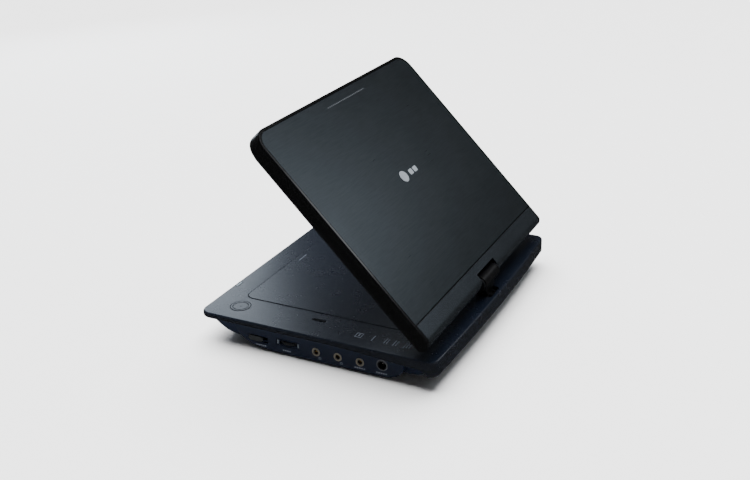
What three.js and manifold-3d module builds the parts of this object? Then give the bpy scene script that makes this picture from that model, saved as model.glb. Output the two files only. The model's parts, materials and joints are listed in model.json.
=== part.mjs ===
// Portable disc player with a swivel screen, shown with the screen part open.
// Millimetres, +Z up, table at z = 0.  +X is the user's right (port side), +Y the hinge side.
import * as THREE from 'three';
import { mergeVertices } from 'three/addons/utils/BufferGeometryUtils.js';
import Module from 'manifold-3d';

const wasm = await Module();
wasm.setup();

// ---------------------------------------------------------------- driving dimensions

const GAP = 0.3; // clearance between neighbouring pieces
const HIDDEN = 1; // how far a cutter runs past the face that it opens

// base
const BASE_HALF_W = 114.5;
const BASE_FRONT = -97.2;
const BASE_REAR = 94.8; // at the rear corners
const BASE_BOW = 5; // control height of the bowed rear edge, twice the bow itself
const FRONT_R = 9;
const REAR_R = 7;
const DECK_Z = 24;
const DECK_T = 2;
const RIM_ROUND = 1.5;
const RIM_EDGE_Z = 19.8; // lower edge of the thin rim
const RIM_MID_Z = 16.3; // the same edge just before it sweeps down
const RIM_GAP = 0.4; // between that edge and the port bosses
const REAR_WALL_Z = 12.1; // lower edge of the rear wall
const SWEEP_Y = 84;

// disc lid and well
const LID_HALF_X = 81.2;
const LID_FRONT = -77.5;
const LID_REAR = 62;
const LID_CORNER = 7;
const LID_T = 2.2;
const LID_TOP = 24.3;
const LID_PIN_Z = 22.6;
const LID_PIN_R = 0.7;
const LID_EDGE_R = LID_TOP - LID_PIN_Z; // the rear edge is rounded about the pins
const LID_PIN_Y = LID_REAR - LID_EDGE_R;
const DISC_Y = -8;
const WELL_R = 61;
const WELL_FLOOR = 15.6;
const WELL_TOP = 21.5;

// hull and port boss
const HULL_WALL = 2;
const HULL_LEVELS = [
  // z, half width, front y, rear y, corner radius
  [1.5, 96, -60, 57, 12],
  [2.3, 99, -64, 60, 12],
  [4.2, 102, -68.5, 64, 12],
  [5.4, 104.2, -71, 84, 12],
  [8, 104.8, -76, 89, 10],
  [13.4, 105.4, -86, 91, 8],
  [21.6, 107, -93.5, 92, 6],
];
// the fuller front of the hull, which runs back into the bosses
const PROW_REAR = -30;
const PROW_LEVELS = [
  [1.5, 96, -70, PROW_REAR, 14],
  [2.3, 99, -74, PROW_REAR, 14],
  [4.2, 102.5, -80.5, PROW_REAR, 14],
  [5.4, 104.5, -84, PROW_REAR, 14],
  [8, 106.2, -87.5, PROW_REAR, 14],
  [10, 107.3, -89.2, PROW_REAR, 14],
  [13.4, 108.6, -91, PROW_REAR, 12],
  [19.3, 110.2, -94.5, PROW_REAR, 10],
];
const PROW_ROOF_Z = 17.3;
const BOSS_X = 110.5;
const BOSS_IN_X = 94;
const BOSS_WALL = 2.2;

// ports on the right boss
const SWITCH_Y = -48;
const SWITCH_Z = 9.5;
const WHEEL_X = 100.9;
const WHEEL_Y = -22.9;
const WHEEL_Z = 10.8;
const WHEEL_HALF_T = 1.2;
const JACK_YS = [0.3, 17.9, 35.5];
const JACK_Z = 9.5;
const DC_Y = 52.8;
const DC_Z = 11.2;

// controls on the deck
const OPEN_X = 95.2;
const OPEN_Y = -72.3;
const RING_R = 7.6;
const BUTTON_R = 5.7;
const WINDOW_X = 91.3;
const WINDOW_Y = -7;
const LED_X = 64.5;
const LED_Y = -94;

// hinge
const TILT_DEG = 45.9; // how far the screen is open
const PIVOT_Y = 86;
const PIVOT_Z = 35.4;
const SWIVEL_Y = 85.3;
const TURN_R = 8.3;
const POCKET_HALF_X = 9.6;
const POCKET_FRONT = 76.4;
const POCKET_REAR = 94;
const POCKET_Z = 20.5;
const BARREL_R = 5.8;
const BARREL_HALF = 13.2;
const NECK_HALF_Y = 4.4;
const NECK_LEVELS = [
  // z, half width
  [22.9, 6.8],
  [24.4, 7.2],
  [29.4, 10.4],
  [PIVOT_Z, 10.4],
];
const PIN_R = 1.3;
const PIN_HALF = 34;
const ARM_XS = [-27, 27];
const ARM_T = 0.9; // half the thickness of the shaft's two arms

// screen half: v runs from the pivot towards the free edge, w is outward
const SCREEN_HALF_W = 115.5;
const SCREEN_TIP = -3.2;
const SCREEN_END = 181.3;
const SCREEN_CORNER = 13;
const SHELL_W = 5.8; // half the thickness of the outer shell
const NOSE_V = SCREEN_TIP + SHELL_W;
const NOTCH_HALF_X = 16.2;
const NOTCH_V = 6.8;
const PARTING_V = 13.8;
const LIP = 2.5; // width of the black lip round the outer panel
const PANEL_T = 0.8;
const BAND_T = 1;
const BEZEL_W = -10; // inner face
const BEZEL_T = 1.8;
const GLASS_HALF_X = 100;
const GLASS_V = [45, 163];
const VIEW_HALF_X = 93.5;
const VIEW_V = [51, 157];
const KEY_V = 31;
const KEY_R = 3.3;
const KEY_PROUD = 0.5;
const PAD_R = 9;
const SPEAKER_X = 84;
const EMBLEM_X = 5.9;
const EMBLEM_V = 97.2;

// ---------------------------------------------------------------- materials

function finish(color, roughness, metalness) {
  return () => new THREE.MeshStandardMaterial({ color, roughness, metalness });
}

const deckPlastic = finish(0x2f3a46, 0.42, 0.2);
const navyPlastic = finish(0x10151f, 0.45, 0.05);
const glossBlack = finish(0x07080a, 0.12, 0.05);
const matteBlack = finish(0x0b0c0e, 0.6, 0.0);
const brushedBlue = finish(0x2b3138, 0.32, 0.75);
const satinBand = finish(0x333b44, 0.38, 0.4);
const steel = finish(0xb9bcc0, 0.3, 1.0);
const darkSteel = finish(0x3a3d42, 0.35, 0.9);
const rubber = finish(0x141416, 0.9, 0.0);
const glass = finish(0x101418, 0.05, 0.0);
const board = finish(0x1c4a2c, 0.55, 0.0);
const greyPlastic = finish(0x50565e, 0.55, 0.0);
const cellWrap = finish(0x1c2b46, 0.4, 0.3);
const white = finish(0xc9ced4, 0.45, 0.0);

// ---------------------------------------------------------------- solids

function toSolid(geometry) {
  const bare = geometry.clone();
  bare.deleteAttribute('normal');
  bare.deleteAttribute('uv');
  const merged = mergeVertices(bare, 1e-4);
  const mesh = new wasm.Mesh({
    numProp: 3,
    vertProperties: new Float32Array(merged.attributes.position.array),
    triVerts: new Uint32Array(merged.index.array),
  });
  return new wasm.Manifold(mesh);
}

function toGeometry(solid) {
  const mesh = solid.getMesh();
  const geometry = new THREE.BufferGeometry();
  geometry.setAttribute('position', new THREE.BufferAttribute(new Float32Array(mesh.vertProperties), 3));
  geometry.setIndex(new THREE.BufferAttribute(new Uint32Array(mesh.triVerts), 1));
  const flat = geometry.toNonIndexed();
  flat.computeVertexNormals();
  return flat;
}

function join(first, ...rest) {
  return rest.reduce((sum, piece) => sum.add(piece), first);
}

function cut(first, ...rest) {
  return rest.reduce((left, piece) => left.subtract(piece), first);
}

function box(x0, x1, y0, y1, z0, z1) {
  const geometry = new THREE.BoxGeometry(x1 - x0, y1 - y0, z1 - z0);
  geometry.translate((x0 + x1) / 2, (y0 + y1) / 2, (z0 + z1) / 2);
  return toSolid(geometry);
}

function extrude(shape, low, high, round = 0, curveSegments = 6) {
  const geometry = new THREE.ExtrudeGeometry(shape, {
    depth: high - low - 2 * round,
    bevelEnabled: round > 0,
    bevelSize: round,
    bevelThickness: round,
    bevelOffset: -round,
    bevelSegments: 2,
    curveSegments,
  });
  geometry.translate(0, 0, low + round);
  return geometry;
}

// a plate lying flat: the outline is in x and y
function slab(shape, z0, z1, round = 0, curveSegments = 6) {
  return toSolid(extrude(shape, z0, z1, round, curveSegments));
}

// a bar along x: the outline is in y and z
function prismX(shape, x0, x1, round = 0, curveSegments = 6) {
  const geometry = extrude(shape, x0, x1, round, curveSegments);
  geometry.applyMatrix4(new THREE.Matrix4().set(0, 0, 1, 0, 1, 0, 0, 0, 0, 1, 0, 0, 0, 0, 0, 1));
  return toSolid(geometry);
}

function post(x, y, radius, z0, z1, segments = 24, topRadius = radius) {
  const geometry = new THREE.CylinderGeometry(topRadius, radius, z1 - z0, segments);
  geometry.rotateX(Math.PI / 2);
  geometry.translate(x, y, (z0 + z1) / 2);
  return toSolid(geometry);
}

function rodX(y, z, radius, x0, x1, segments = 20) {
  const geometry = new THREE.CylinderGeometry(radius, radius, x1 - x0, segments);
  geometry.rotateZ(Math.PI / 2);
  geometry.translate((x0 + x1) / 2, y, z);
  return toSolid(geometry);
}

function roundedRect(x0, x1, y0, y1, radius) {
  const shape = new THREE.Shape();
  shape.moveTo(x0 + radius, y0);
  shape.lineTo(x1 - radius, y0);
  shape.absarc(x1 - radius, y0 + radius, radius, -Math.PI / 2, 0, false);
  shape.lineTo(x1, y1 - radius);
  shape.absarc(x1 - radius, y1 - radius, radius, 0, Math.PI / 2, false);
  shape.lineTo(x0 + radius, y1);
  shape.absarc(x0 + radius, y1 - radius, radius, Math.PI / 2, Math.PI, false);
  shape.lineTo(x0, y0 + radius);
  shape.absarc(x0 + radius, y0 + radius, radius, Math.PI, 1.5 * Math.PI, false);
  return shape;
}

// a rectangle with rounded corners at its front end only
function frontRounded(halfX, front, rear, radius) {
  const shape = new THREE.Shape();
  shape.moveTo(-halfX + radius, front);
  shape.lineTo(halfX - radius, front);
  shape.absarc(halfX - radius, front + radius, radius, -Math.PI / 2, 0, false);
  shape.lineTo(halfX, rear);
  shape.lineTo(-halfX, rear);
  shape.lineTo(-halfX, front + radius);
  shape.absarc(-halfX + radius, front + radius, radius, Math.PI, 1.5 * Math.PI, false);
  return shape;
}

// a closed skin through a stack of flat outlines with the same number of points
function loft(outlines) {
  const count = outlines[0].points.length;
  const positions = [];
  for (const { z, points } of outlines) {
    for (const p of points) positions.push(p.x, p.y, z);
  }
  const index = [];
  for (let level = 0; level + 1 < outlines.length; level += 1) {
    for (let i = 0; i < count; i += 1) {
      const a = level * count + i;
      const b = level * count + ((i + 1) % count);
      index.push(a, b, b + count, a, b + count, a + count);
    }
  }
  const faces = THREE.ShapeUtils.triangulateShape(outlines[0].points, []);
  const top = (outlines.length - 1) * count;
  for (const [a, b, c] of faces) {
    index.push(c, b, a);
    index.push(top + a, top + b, top + c);
  }
  const geometry = new THREE.BufferGeometry();
  geometry.setAttribute('position', new THREE.Float32BufferAttribute(positions, 3));
  geometry.setIndex(index);
  return toSolid(geometry);
}

// ---------------------------------------------------------------- the assembly

const group = new THREE.Group();
group.name = 'portable_dvd_player';

function add(name, solid, material, pose = (geometry) => geometry) {
  const mesh = new THREE.Mesh(pose(toGeometry(solid)), material());
  mesh.name = name;
  group.add(mesh);
}

// carries a piece drawn with the screen closed, pivot at the origin, to its open place
function opened(geometry) {
  geometry.rotateX(-THREE.MathUtils.degToRad(TILT_DEG));
  geometry.translate(0, PIVOT_Y, PIVOT_Z);
  return geometry;
}

// ---------------------------------------------------------------- base: cases

function baseOutline() {
  const x = BASE_HALF_W;
  const front = BASE_FRONT;
  const rear = BASE_REAR;
  const rf = FRONT_R;
  const rr = REAR_R;
  const shape = new THREE.Shape();
  shape.moveTo(-x + rf, front);
  shape.lineTo(x - rf, front);
  shape.absarc(x - rf, front + rf, rf, -Math.PI / 2, 0, false);
  shape.lineTo(x, rear - rr);
  shape.absarc(x - rr, rear - rr, rr, 0, Math.PI / 2, false);
  shape.quadraticCurveTo(0, rear + BASE_BOW, -x + rr, rear);
  shape.absarc(-x + rr, rear - rr, rr, Math.PI / 2, Math.PI, false);
  shape.lineTo(-x, front + rf);
  shape.absarc(-x + rf, front + rf, rf, Math.PI, 1.5 * Math.PI, false);
  return shape;
}

// everything below the rim's lower edge, which sweeps down to the rear wall
function belowRim() {
  const far = 130;
  const shape = new THREE.Shape();
  shape.moveTo(-far, RIM_EDGE_Z);
  shape.lineTo(0, RIM_EDGE_Z);
  shape.bezierCurveTo(40, RIM_EDGE_Z, 60, RIM_MID_Z + 0.6, SWEEP_Y - 1, RIM_MID_Z);
  shape.bezierCurveTo(SWEEP_Y + 2, RIM_MID_Z - 0.4, SWEEP_Y + 2, REAR_WALL_Z, SWEEP_Y + 5, REAR_WALL_Z);
  shape.lineTo(far, REAR_WALL_Z);
  shape.lineTo(far, -10);
  shape.lineTo(-far, -10);
  shape.closePath();
  return prismX(shape, -far, far, 0, 7);
}

function pocket(grow, z0, z1) {
  const shape = roundedRect(
    -POCKET_HALF_X - grow,
    POCKET_HALF_X + grow,
    POCKET_FRONT - grow,
    POCKET_REAR + Math.min(grow, 1.2),
    3 + grow,
  );
  return slab(shape, z0, z1, 0, 3);
}

const discOpening = frontRounded(LID_HALF_X + 0.4, LID_FRONT - 0.4, LID_REAR + 0.4, LID_CORNER + 0.4);
const pinBosses = [-1, 1].map((side) => {
  const ends = [side * (LID_HALF_X + 0.4), side * (LID_HALF_X + 5)].sort((a, b) => a - b);
  return box(ends[0], ends[1], LID_PIN_Y - 2.4, LID_PIN_Y + 2.4, LID_PIN_Z - 1.7, DECK_Z - 1);
});
const pinSockets = rodX(LID_PIN_Y, LID_PIN_Z, LID_PIN_R + GAP, -LID_HALF_X - 3.6, LID_HALF_X + 3.6, 14);
const windowShape = (grow) => roundedRect(
  WINDOW_X - 1.1 - grow,
  WINDOW_X + 1.1 + grow,
  WINDOW_Y - 5.4 - grow,
  WINDOW_Y + 5.4 + grow,
  1.05 + grow,
);
const ledShape = (grow) => roundedRect(
  LED_X - 3.6 - grow,
  LED_X + 3.6 + grow,
  LED_Y - 1 - grow,
  LED_Y + 1 + grow,
  0.9 + grow,
);

// room for the hull's upper edge, under the deck
const caseHollow = roundedRect(-107.5, 107.5, -94, 92.4, 6);

function topCase() {
  const skin = cut(
    slab(baseOutline(), REAR_WALL_Z - 8, DECK_Z, RIM_ROUND, 5),
    slab(caseHollow, REAR_WALL_Z - 9, DECK_Z - DECK_T, 0, 5),
    belowRim(),
  );
  const tub = pocket(1.6, POCKET_Z - 1.7, DECK_Z - 0.5);
  return cut(
    join(skin, tub, ...pinBosses),
    pinSockets,
    pocket(0, POCKET_Z, DECK_Z + HIDDEN),
    post(0, SWIVEL_Y, 4 + GAP, POCKET_Z - 4, POCKET_Z + HIDDEN),
    slab(discOpening, DECK_Z - 5, DECK_Z + HIDDEN, 0, 4),
    post(OPEN_X, OPEN_Y, RING_R + GAP, DECK_Z - 1, DECK_Z + HIDDEN, 32),
    post(OPEN_X, OPEN_Y, BUTTON_R + GAP, DECK_Z - 5, DECK_Z + HIDDEN, 32),
    slab(windowShape(GAP), DECK_Z - 5, DECK_Z + HIDDEN, 0, 3),
    slab(ledShape(GAP), DECK_Z - 5, DECK_Z + HIDDEN, 0, 3),
  );
}

function hull(levels, inset, zs) {
  const outlines = levels.map(([z, x, front, rear, radius]) => {
    const r = Math.max(radius - inset, 1);
    const shape = roundedRect(-x + inset, x - inset, front + inset, rear - inset, r);
    return { z: zs(z), points: shape.getPoints(2) };
  });
  for (const outline of outlines) {
    // the last point repeats the first
    outline.points.pop();
    if (THREE.ShapeUtils.isClockWise(outline.points)) outline.points.reverse();
  }
  return loft(outlines);
}

// height of the inner skin over a level of the outer one
function aboveFloor(z) {
  return z < 2 ? z + HULL_WALL : z + HULL_WALL * 0.9;
}

// side view of the port boss, with its curved lower corners
function bossShape(inset) {
  const top = RIM_EDGE_Z + 1 - inset;
  const low = 1.5 + inset;
  const front = -69.5 + inset;
  const rear = 69.5 - inset;
  const shape = new THREE.Shape();
  shape.moveTo(front, top);
  shape.bezierCurveTo(front + 1, 12, front + 8, 5, front + 16, 3.6 + inset);
  shape.quadraticCurveTo(front + 24, low + 0.3, -38, low);
  shape.lineTo(52, low);
  shape.bezierCurveTo(rear - 7, low, rear - 2, 6, rear - 1, 9.6);
  shape.lineTo(rear, top);
  shape.closePath();
  return shape;
}

function slotYZ(y0, y1, z0, z1, radius, x0, x1) {
  return prismX(roundedRect(y0, y1, z0, z1, radius), x0, x1, 0, 4);
}

const SCREW_SPOTS = [
  [-61, -54],
  [61, -54],
  [-61, 46],
  [61, 46],
];
const FOOT_SPOTS = [
  [-84, -48],
  [84, -48],
  [-84, 44],
  [84, 44],
];
const FLOOR_Z = HULL_LEVELS[0][0];

function bottomCase() {
  const bosses = join(
    prismX(bossShape(0), BOSS_IN_X, BOSS_X, 1.2, 4),
    prismX(bossShape(0), -BOSS_X, -BOSS_IN_X, 1.2, 4),
  );
  const asDrawn = (z) => z;
  const shells = [hull(HULL_LEVELS, 0, asDrawn), hull(PROW_LEVELS, 0, asDrawn)];
  const outside = join(...shells, bosses.intersect(belowRim().translate([0, 0, -RIM_GAP])));
  const inside = join(
    hull(HULL_LEVELS, HULL_WALL, (z) => (z > 21 ? z + HIDDEN : aboveFloor(z))),
    hull(PROW_LEVELS, HULL_WALL, (z) => Math.min(aboveFloor(z), PROW_ROOF_Z)),
    prismX(bossShape(4), BOSS_IN_X - 4, BOSS_X - BOSS_WALL, 0, 4),
    prismX(bossShape(4), -BOSS_X + BOSS_WALL, -BOSS_IN_X + 4, 0, 4),
  );
  const shell = cut(outside, inside);
  const pillars = SCREW_SPOTS.map(([x, y]) => post(x, y, 4.5, FLOOR_Z + 1, 8, 14));
  const rests = [
    [-72, -29],
    [-72, 13],
    [12, -29],
    [12, 13],
  ].map(([x, y]) => post(x, y, 3, FLOOR_Z + 1, 4.2, 12));
  const screwHoles = SCREW_SPOTS.flatMap(([x, y]) => [
    post(x, y, 3.1, -HIDDEN, FLOOR_Z + 1.8, 16),
    post(x, y, 1.5, 0, 7.6, 12),
  ]);
  const footHoles = FOOT_SPOTS.map(([x, y]) => post(x, y, 6 + GAP, 0, FLOOR_Z + 0.9, 24));
  const through = BOSS_X + HIDDEN;
  const wallIn = BOSS_X - BOSS_WALL - HIDDEN;
  const ports = [
    slotYZ(SWITCH_Y - 9.2, SWITCH_Y + 9.2, SWITCH_Z - 2.6, SWITCH_Z + 2.6, 2.5, BOSS_X - 1.4, through),
    slotYZ(SWITCH_Y - 6.7, SWITCH_Y + 6.7, SWITCH_Z - 1.2, SWITCH_Z + 1.2, 0.6, wallIn, through),
    slotYZ(WHEEL_Y - 9.6, WHEEL_Y + 9.6, WHEEL_Z - 2.7, WHEEL_Z + 2.7, 1.2, BOSS_X - 1.2, through),
    slotYZ(WHEEL_Y - 8, WHEEL_Y + 8, WHEEL_Z - 1.6, WHEEL_Z + 1.6, 0.5, wallIn, through),
    ...JACK_YS.map((y) => rodX(y, JACK_Z, 3 + GAP, wallIn, through, 28)),
    rodX(DC_Y, DC_Z, 3.6 + GAP, wallIn, through, 28),
  ];
  const bay = [
    slab(roundedRect(-56.3, 56.3, 19.7, 54.3, 3), 0, FLOOR_Z + 1.2, 0, 3),
    slab(roundedRect(-52, 52, 23, 51, 2), 0, FLOOR_Z + 4, 0, 3),
  ];
  const tubRoom = box(-POCKET_HALF_X - 2.5, POCKET_HALF_X + 2.5, 84, 98, POCKET_Z - 6, 30);
  return cut(join(shell, ...pillars, ...rests), ...screwHoles, ...footHoles, ...ports, ...bay, tubRoom);
}

add('base_top_case', topCase(), deckPlastic);
add('base_bottom_case', bottomCase(), navyPlastic);
add('battery_cover', slab(roundedRect(-56, 56, 20, 54, 2.8), FLOOR_Z + 0.1, FLOOR_Z + 1, 0, 3), navyPlastic);
FOOT_SPOTS.forEach(([x, y], i) => {
  add(`foot_${i + 1}`, post(x, y, 6, 0, FLOOR_Z + 0.6, 24), rubber);
});
SCREW_SPOTS.forEach(([x, y], i) => {
  const screw = join(post(x, y, 2.8, 1.7, 3, 16), post(x, y, 1.2, 2.9, 7.2, 10));
  add(`case_screw_${i + 1}`, cut(screw, box(x - 2, x + 2, y - 0.4, y + 0.4, 1, 2.2)), steel);
});

// ---------------------------------------------------------------- base: disc lid and drive

function discLid() {
  const outline = frontRounded(LID_HALF_X, LID_FRONT, LID_REAR, LID_CORNER);
  const plate = slab(outline, LID_TOP - LID_T, LID_TOP, 0.35, 4);
  const rearEdge = cut(
    box(-90, 90, LID_PIN_Y, LID_REAR + 2, LID_TOP - LID_T - 1, LID_TOP + 1),
    rodX(LID_PIN_Y, LID_PIN_Z, LID_EDGE_R, -95, 95, 32),
  );
  const pins = [-1, 1].map((side) => {
    const ends = [side * (LID_HALF_X - 10), side * (LID_HALF_X + 3)].sort((a, b) => a - b);
    return rodX(LID_PIN_Y, LID_PIN_Z, LID_PIN_R, ends[0], ends[1], 14);
  });
  const tab = box(75.5, 77.5, -75, -69, 17.4, LID_TOP - 1);
  return join(cut(plate, rearEdge), ...pins, tab);
}

function discWell() {
  const flange = slab(roundedRect(-85, 85, -81.5, 65.5, 8), WELL_TOP - 2.4, WELL_TOP, 0, 3);
  const bowl = post(0, DISC_Y, WELL_R + 1.6, WELL_FLOOR - 1.4, WELL_TOP - 1, 56);
  const window = join(
    post(0, DISC_Y, 14.5, WELL_FLOOR - 4, WELL_FLOOR + 2, 32),
    box(-64, 0, DISC_Y - 9, DISC_Y + 9, WELL_FLOOR - 4, WELL_FLOOR + 2),
  );
  const edgeGroove = box(-83, 83, LID_PIN_Y - 2.3, LID_PIN_Y + 2.2, LID_PIN_Z - LID_EDGE_R - GAP, 30);
  const bossRoom = [-1, 1].map((side) => {
    const ends = [side * LID_HALF_X, side * (LID_HALF_X + 6)].sort((a, b) => a - b);
    return box(ends[0], ends[1], LID_PIN_Y - 2.8, LID_PIN_Y + 2.8, 10, 30);
  });
  const recess = slab(roundedRect(-78, 78, -74, 52, 6), WELL_TOP - 0.8, WELL_TOP + 1, 0, 3);
  return cut(
    join(flange, bowl),
    post(0, DISC_Y, WELL_R, WELL_FLOOR, WELL_TOP + 1, 56),
    window,
    recess,
    box(74.5, 79, -76, -68, 10, 30),
    edgeGroove,
    ...bossRoom,
  );
}

const ROD_YS = [DISC_Y - 14.5, DISC_Y + 14.5];
const ROD_Z = 9.4;
const CHASSIS_X = [-76, 17];
const SCREW_Y = DISC_Y + 20.5;

function driveChassis() {
  const [x0, x1] = CHASSIS_X;
  const floor = slab(roundedRect(x0, x1, DISC_Y - 25, DISC_Y + 25, 3), 4.5, 5.7, 0, 3);
  const ends = [x0 + 0.2, x1 - 1.6].map((x) => box(x, x + 1.4, DISC_Y - 23, DISC_Y + 23, 5.2, 12.6));
  const holes = [...ROD_YS, SCREW_Y].map((y) => rodX(y, ROD_Z, 1.5 + GAP, x0 - 1, x1 + 1));
  const slot = slab(roundedRect(x0 + 8, -18, DISC_Y - 9, DISC_Y + 9, 3), 4, 6, 0, 3);
  return cut(join(floor, ...ends), ...holes, slot);
}

function pickupSled() {
  const body = box(-37, -13.6, DISC_Y - 17.5, DISC_Y + 17.5, 6.4, 12.6);
  const nut = box(-33, -25, DISC_Y + 17, SCREW_Y + 2.6, 7, 11.8);
  const bores = ROD_YS.map((y) => rodX(y, ROD_Z, 1.5 + GAP, -50, 0));
  const screwBore = rodX(SCREW_Y, ROD_Z, 1.3 + GAP, -50, 0);
  const lensSeat = post(-25.5, DISC_Y, 4.6, 11.4, 14, 24);
  return cut(join(body, nut), ...bores, screwBore, lensSeat);
}

add('disc_lid', discLid(), deckPlastic);
add('disc_well', discWell(), matteBlack);
add('drive_chassis', driveChassis(), steel);
add('spindle_motor', post(0, DISC_Y, 12.2, 6, 12.4, 32), darkSteel);
add('spindle_hub', join(
  post(0, DISC_Y, 1.4, 12.8, 16.2, 16),
  post(0, DISC_Y, 12, 15.9, 17, 32),
  post(0, DISC_Y, 7.4, 16.8, 19.2, 24, 6.2),
), matteBlack);
add('pickup_sled', pickupSled(), greyPlastic);
add('pickup_lens', join(
  post(-25.5, DISC_Y, 4.2, 11.7, 13.6, 24),
  post(-25.5, DISC_Y, 3, 13.5, 14.4, 24, 1.6),
), glass);
ROD_YS.forEach((y, i) => {
  add(`guide_rod_${i + 1}`, rodX(y, ROD_Z, 1.5, CHASSIS_X[0] - 0.4, CHASSIS_X[1] + 0.4, 16), steel);
});
add('lead_screw', rodX(SCREW_Y, ROD_Z, 1.3, CHASSIS_X[0] - 0.4, CHASSIS_X[1] + 0.8, 16), steel);
add('sled_motor', rodX(SCREW_Y, ROD_Z, 3.8, CHASSIS_X[1] + 1.2, CHASSIS_X[1] + 15, 24), darkSteel);

// ---------------------------------------------------------------- base: electronics and ports

add('main_board', slab(roundedRect(66.5, 98, -46, 50, 2), 5.3, 6.9, 0, 2), board);
add('battery_pack', slab(roundedRect(-51, 51, 24, 50, 3), 4, 13, 1, 3), cellWrap);

function jack(y, z, radius, bore, pin) {
  const body = box(95, BOSS_X - BOSS_WALL - 0.4, y - 3.9, y + 3.9, 7.2, z + 3);
  const barrel = rodX(y, z, radius, BOSS_X - BOSS_WALL - 1, BOSS_X + 0.5, 28);
  const hole = rodX(y, z, bore, 97, BOSS_X + HIDDEN, 20);
  const hollow = cut(join(body, barrel), hole);
  return pin > 0 ? join(hollow, rodX(y, z, pin, 96, BOSS_X - 0.8, 12)) : hollow;
}

JACK_YS.forEach((y, i) => {
  add(`jack_${i + 1}`, jack(y, JACK_Z, 3, 1.9, 0), matteBlack);
});
add('dc_jack', jack(DC_Y, DC_Z, 3.6, 2.9, 0.8), matteBlack);

const KNOB_Y = [SWITCH_Y - 8.7, SWITCH_Y + 3.6];
const KNOB_SHAPE = roundedRect(KNOB_Y[0], KNOB_Y[1], SWITCH_Z - 2.2, SWITCH_Z + 2.2, 2.1);
add('power_switch', join(
  prismX(KNOB_SHAPE, BOSS_X - 1.1, BOSS_X + 0.6, 0.3, 4),
  box(BOSS_X - 5, BOSS_X - 1, SWITCH_Y - 6.2, SWITCH_Y - 2.6, SWITCH_Z - 0.9, SWITCH_Z + 0.9),
), deckPlastic);

function volumeWheel() {
  const ridges = 45;
  const points = [];
  for (let i = 0; i < 2 * ridges; i += 1) {
    const angle = (i * Math.PI) / ridges;
    const r = i % 2 ? 10.5 : 10.1;
    points.push(new THREE.Vector2(WHEEL_X + r * Math.cos(angle), WHEEL_Y + r * Math.sin(angle)));
  }
  return slab(new THREE.Shape(points), WHEEL_Z - WHEEL_HALF_T, WHEEL_Z + WHEEL_HALF_T);
}

add('volume_wheel', join(volumeWheel(), post(WHEEL_X, WHEEL_Y, 3, 7.1, WHEEL_Z, 20)), matteBlack);
add('wheel_frame', cut(
  slotYZ(WHEEL_Y - 9.3, WHEEL_Y + 9.3, WHEEL_Z - 2.4, WHEEL_Z + 2.4, 1, BOSS_X - 0.9, BOSS_X - 0.2),
  slotYZ(WHEEL_Y - 7.2, WHEEL_Y + 7.2, WHEEL_Z - 1.6, WHEEL_Z + 1.6, 0.5, BOSS_X - 2, BOSS_X + 1),
), steel);

add('open_ring', cut(
  post(OPEN_X, OPEN_Y, RING_R, DECK_Z - 0.7, DECK_Z + 0.4, 36, RING_R - 0.4),
  post(OPEN_X, OPEN_Y, BUTTON_R + GAP, DECK_Z - 2, DECK_Z + 2, 32),
), satinBand);
add('open_button', cut(
  join(
    post(OPEN_X, OPEN_Y, BUTTON_R, DECK_Z - 2.8, DECK_Z + 0.3, 32, BUTTON_R - 0.2),
    post(OPEN_X, OPEN_Y, 2, 19.8, DECK_Z - 2, 16),
  ),
  post(OPEN_X, OPEN_Y, 3.2, DECK_Z - 0.3, DECK_Z + 1, 28, 5.2),
), deckPlastic);
add('lid_latch', box(78.3, 99, -74.5, -69.5, 16.6, 18.2), greyPlastic);
add('status_window', slab(windowShape(0), DECK_Z - 1.7, DECK_Z + 0.1, 0, 3), glossBlack);
add('front_led', slab(ledShape(0), DECK_Z - 1.7, DECK_Z + 0.2, 0, 3), white);

// ---------------------------------------------------------------- swivel

function knuckle() {
  const neck = loft(NECK_LEVELS.map(([z, x]) => ({
    z,
    points: roundedRect(-x, x, SWIVEL_Y - NECK_HALF_Y, SWIVEL_Y + NECK_HALF_Y, 1.5).getPoints(3).slice(0, -1),
  })));
  return cut(
    join(rodX(PIVOT_Y, PIVOT_Z, BARREL_R, -BARREL_HALF, BARREL_HALF, 36), neck),
    rodX(PIVOT_Y, PIVOT_Z, PIN_R + GAP, -20, 20),
  );
}

add('swivel_turntable', join(
  post(0, SWIVEL_Y, TURN_R, POCKET_Z + GAP, POCKET_Z + 2.1, 40),
  post(0, SWIVEL_Y, 4, POCKET_Z - 5, POCKET_Z + 1, 28),
), matteBlack);
add('swivel_clip', cut(
  post(0, SWIVEL_Y, 6.4, POCKET_Z - 4.6, POCKET_Z - 3.4, 28),
  post(0, SWIVEL_Y, 4 + GAP, POCKET_Z - 6, POCKET_Z - 2, 28),
), steel);
add('hinge_knuckle', knuckle(), matteBlack);
[-3.6, 3.6].forEach((x, i) => {
  add(`knuckle_screw_${i + 1}`, post(x, SWIVEL_Y + 5.9, 1.2, POCKET_Z + 2.4, POCKET_Z + 3.2, 16), steel);
});
[-1, 1].forEach((side, i) => {
  const x = [side * (BARREL_HALF + 0.4), side * (BARREL_HALF + 2.5)].sort((a, b) => a - b);
  add(`friction_cap_${i + 1}`, cut(
    rodX(PIVOT_Y, PIVOT_Z, BARREL_R - 0.4, x[0], x[1], 32),
    rodX(PIVOT_Y, PIVOT_Z, PIN_R + GAP, x[0] - 1, x[1] + 1),
  ), darkSteel);
});

// ---------------------------------------------------------------- screen half, drawn closed about the pivot

// side view of the outer shell: a rounded nose at the hinge and a softer free edge
function shellProfile(nose, end) {
  const shape = new THREE.Shape();
  shape.moveTo(-NOSE_V, -nose);
  shape.absarc(-NOSE_V, 0, nose, -Math.PI / 2, Math.PI / 2, false);
  shape.lineTo(-end + 1.5, nose);
  shape.quadraticCurveTo(-end, nose, -end, nose - 1.5);
  shape.lineTo(-end, -nose + 3);
  shape.quadraticCurveTo(-end, -nose, -end + 3, -nose);
  shape.closePath();
  return shape;
}

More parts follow.
